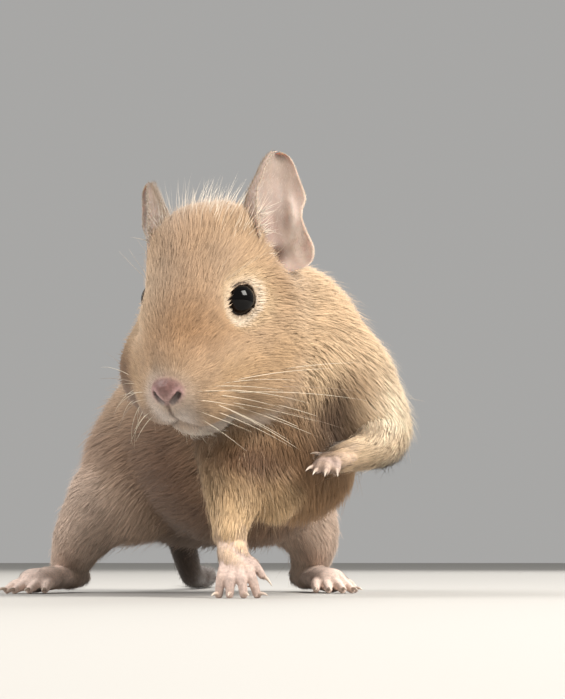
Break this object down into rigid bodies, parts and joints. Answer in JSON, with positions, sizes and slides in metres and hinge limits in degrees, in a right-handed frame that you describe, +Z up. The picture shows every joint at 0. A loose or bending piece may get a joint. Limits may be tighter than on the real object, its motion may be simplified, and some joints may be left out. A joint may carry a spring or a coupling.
{
  "type": "degu",
  "caption": "Life-size sand-coloured degu leaning forward over one forepaw, the other forepaw lifted, head turned and lowered, tail laid out behind.",
  "frame": {"origin": "on the floor, under the middle of the whole body's bounding box", "axes": "+Z up, the trunk runs along Y with the nose towards -Y and the tail towards +Y, +X to the animal's left"},
  "size_m": [0.0975, 0.212, 0.0987],
  "materials": {
    "golden_coat": "short dense fur, tan-gold, paler round the eyes and on the chest",
    "dusky_coat": "short dense fur, grey-brown on the flanks and rump",
    "tail_coat": "bristly dark fur ending in a brush",
    "ear_skin": "thin, nearly bare skin with fine pale hairs, pinkish beige",
    "paw_skin": "bare to thinly haired skin, pale pink",
    "nose_skin": "bare damp skin, pinkish brown",
    "eye": "glossy near black",
    "claw_horn": "pale smooth horn"
  },
  "bodies": {
    "root": {"claw_fore_left_1": "claw_horn", "claw_fore_left_2": "claw_horn", "claw_fore_left_3": "claw_horn", "claw_fore_left_4": "claw_horn", "claw_fore_left_5": "claw_horn", "claw_fore_right_1": "claw_horn", "claw_fore_right_2": "claw_horn", "claw_fore_right_3": "claw_horn", "claw_fore_right_4": "claw_horn", "claw_fore_right_5": "claw_horn", "claw_hind_left_1": "claw_horn", "claw_hind_left_2": "claw_horn", "claw_hind_left_3": "claw_horn", "claw_hind_left_4": "claw_horn", "claw_hind_left_5": "claw_horn", "claw_hind_right_1": "claw_horn", "claw_hind_right_2": "claw_horn", "claw_hind_right_3": "claw_horn", "claw_hind_right_4": "claw_horn", "claw_hind_right_5": "claw_horn", "ear_left": "ear_skin", "ear_right": "ear_skin", "eye_left": "eye", "eye_right": "eye", "foreleg_left": "golden_coat", "foreleg_right": "golden_coat", "forepaw_left": "paw_skin", "forepaw_right": "paw_skin", "head": "golden_coat", "hindfoot_left": "paw_skin", "hindfoot_right": "paw_skin", "hindleg_left": "dusky_coat", "hindleg_right": "dusky_coat", "neck": "golden_coat", "nose": "nose_skin", "tail_base": "dusky_coat", "tail_brush": "tail_coat", "trunk": "dusky_coat"}
  },
  "joints": []
}
